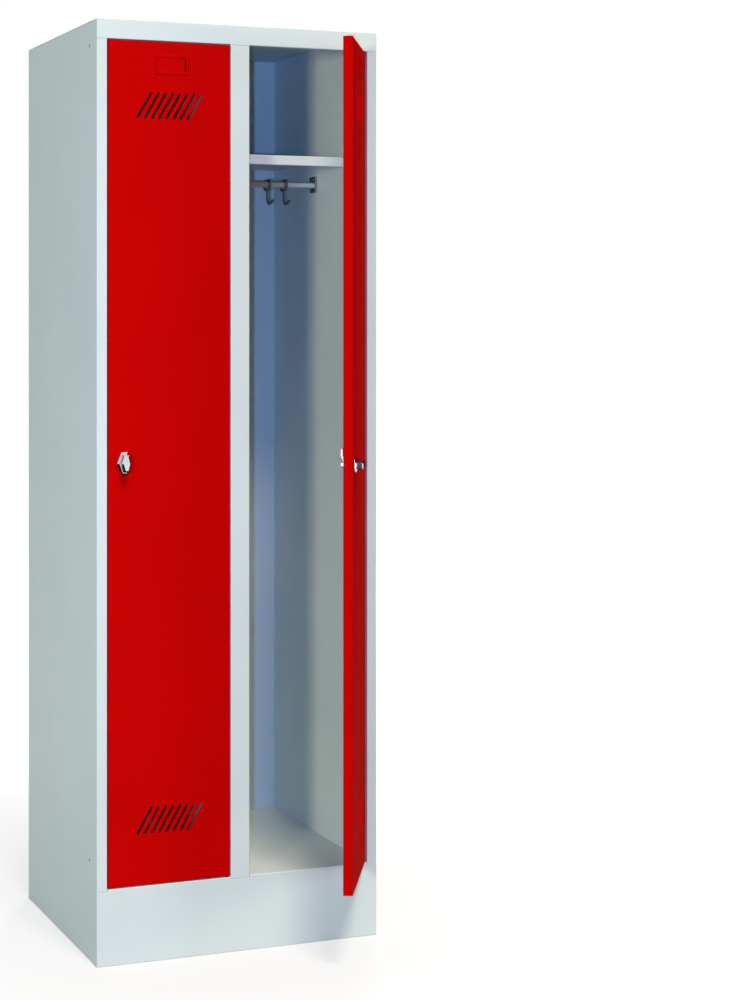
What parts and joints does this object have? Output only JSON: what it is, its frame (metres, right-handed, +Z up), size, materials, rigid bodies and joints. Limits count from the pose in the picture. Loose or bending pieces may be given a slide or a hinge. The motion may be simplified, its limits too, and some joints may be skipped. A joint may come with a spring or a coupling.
{
  "type": "clothing locker",
  "caption": "Grey steel clothing locker with side-by-side compartments, red vented doors on pivots, turn latches, hat shelves and clothes rails with sliding coat hooks.",
  "frame": {"origin": "middle of the carcass footprint on the floor", "axes": "+Z up, -Y towards the front, +X to the right seen from the front"},
  "size_m": [0.6, 0.7121, 1.85],
  "materials": {
    "grey_paint": "satin light grey powder coat",
    "red_paint": "satin red powder coat",
    "rail_chrome": "chrome-plated tube",
    "hook_chrome": "chrome-plated wire",
    "zinc": "zinc-plated steel",
    "chrome": "polished",
    "nylon": "moulded black",
    "rubber": "matt black"
  },
  "bodies": {
    "carcass": {"left_side_panel": "grey_paint", "right_side_panel": "grey_paint", "centre_partition": "grey_paint", "top_panel": "grey_paint", "back_panel": "grey_paint", "floor_panel": "grey_paint", "plinth_panel": "grey_paint", "left_hat_shelf": "grey_paint", "left_clothes_rail": "rail_chrome", "left_rail_left_bracket": "hook_chrome", "left_rail_right_bracket": "hook_chrome", "left_bracket_rivets": "zinc", "left_top_pivot_bush": "nylon", "left_bottom_pivot_bush": "nylon", "left_strike_strip": "grey_paint", "left_door_buffers": "rubber", "right_hat_shelf": "grey_paint", "right_clothes_rail": "rail_chrome", "right_rail_left_bracket": "hook_chrome", "right_rail_right_bracket": "hook_chrome", "right_bracket_rivets": "zinc", "right_top_pivot_bush": "nylon", "right_bottom_pivot_bush": "nylon", "right_strike_strip": "grey_paint", "right_door_buffers": "rubber"},
    "left_door": {"left_door_panel": "red_paint", "left_door_stiffener": "red_paint", "left_top_pivot_pin": "zinc", "left_bottom_pivot_pin": "zinc", "left_lock_barrel": "chrome", "left_lock_nut": "zinc"},
    "left_latch": {"left_lock_knob": "chrome", "left_lock_cam": "zinc", "left_cam_nut": "zinc"},
    "left_hook_1": {"left_coat_hook_1": "hook_chrome"},
    "left_hook_2": {"left_coat_hook_2": "hook_chrome"},
    "left_hook_3": {"left_coat_hook_3": "hook_chrome"},
    "right_door": {"right_door_panel": "red_paint", "right_door_stiffener": "red_paint", "right_top_pivot_pin": "zinc", "right_bottom_pivot_pin": "zinc", "right_lock_barrel": "chrome", "right_lock_nut": "zinc"},
    "right_latch": {"right_lock_knob": "chrome", "right_lock_cam": "zinc", "right_cam_nut": "zinc"},
    "right_hook_1": {"right_coat_hook_1": "hook_chrome"},
    "right_hook_2": {"right_coat_hook_2": "hook_chrome"},
    "right_hook_3": {"right_coat_hook_3": "hook_chrome"}
  },
  "joints": [
    {"name": "left_door_swing", "type": "hinge", "parent": "carcass", "child": "left_door", "pos_m": [-0.0275, -0.245, 0.981], "axis": [0, 0, 1], "range_deg": [0, 110]},
    {"name": "right_door_swing", "type": "hinge", "parent": "carcass", "child": "right_door", "pos_m": [0.2715, -0.245, 0.981], "axis": [0, 0, 1], "range_deg": [-59.6, 50.4]},
    {"name": "left_latch_turn", "type": "hinge", "parent": "left_door", "child": "left_latch", "pos_m": [-0.244, -0.25, 0.981], "axis": [0, -1, 0], "range_deg": [0, 180]},
    {"name": "right_latch_turn", "type": "hinge", "parent": "right_door", "child": "right_latch", "pos_m": [0.16626, -0.43426, 0.981], "axis": [0.8625, -0.506, 0], "range_deg": [-90, 90]},
    {"name": "left_hook_1_slide", "type": "slide", "parent": "carcass", "child": "left_hook_1", "axis": [1, 0, 0], "range_m": [-0.07, 0.029]},
    {"name": "left_hook_2_slide", "type": "slide", "parent": "carcass", "child": "left_hook_2", "axis": [1, 0, 0], "range_m": [-0.029, 0.014]},
    {"name": "left_hook_3_slide", "type": "slide", "parent": "carcass", "child": "left_hook_3", "axis": [1, 0, 0], "range_m": [-0.016, 0.062]},
    {"name": "right_hook_1_slide", "type": "slide", "parent": "carcass", "child": "right_hook_1", "axis": [1, 0, 0], "range_m": [-0.07, 0.029]},
    {"name": "right_hook_2_slide", "type": "slide", "parent": "carcass", "child": "right_hook_2", "axis": [1, 0, 0], "range_m": [-0.029, 0.014]},
    {"name": "right_hook_3_slide", "type": "slide", "parent": "carcass", "child": "right_hook_3", "axis": [1, 0, 0], "range_m": [-0.016, 0.062]}
  ]
}
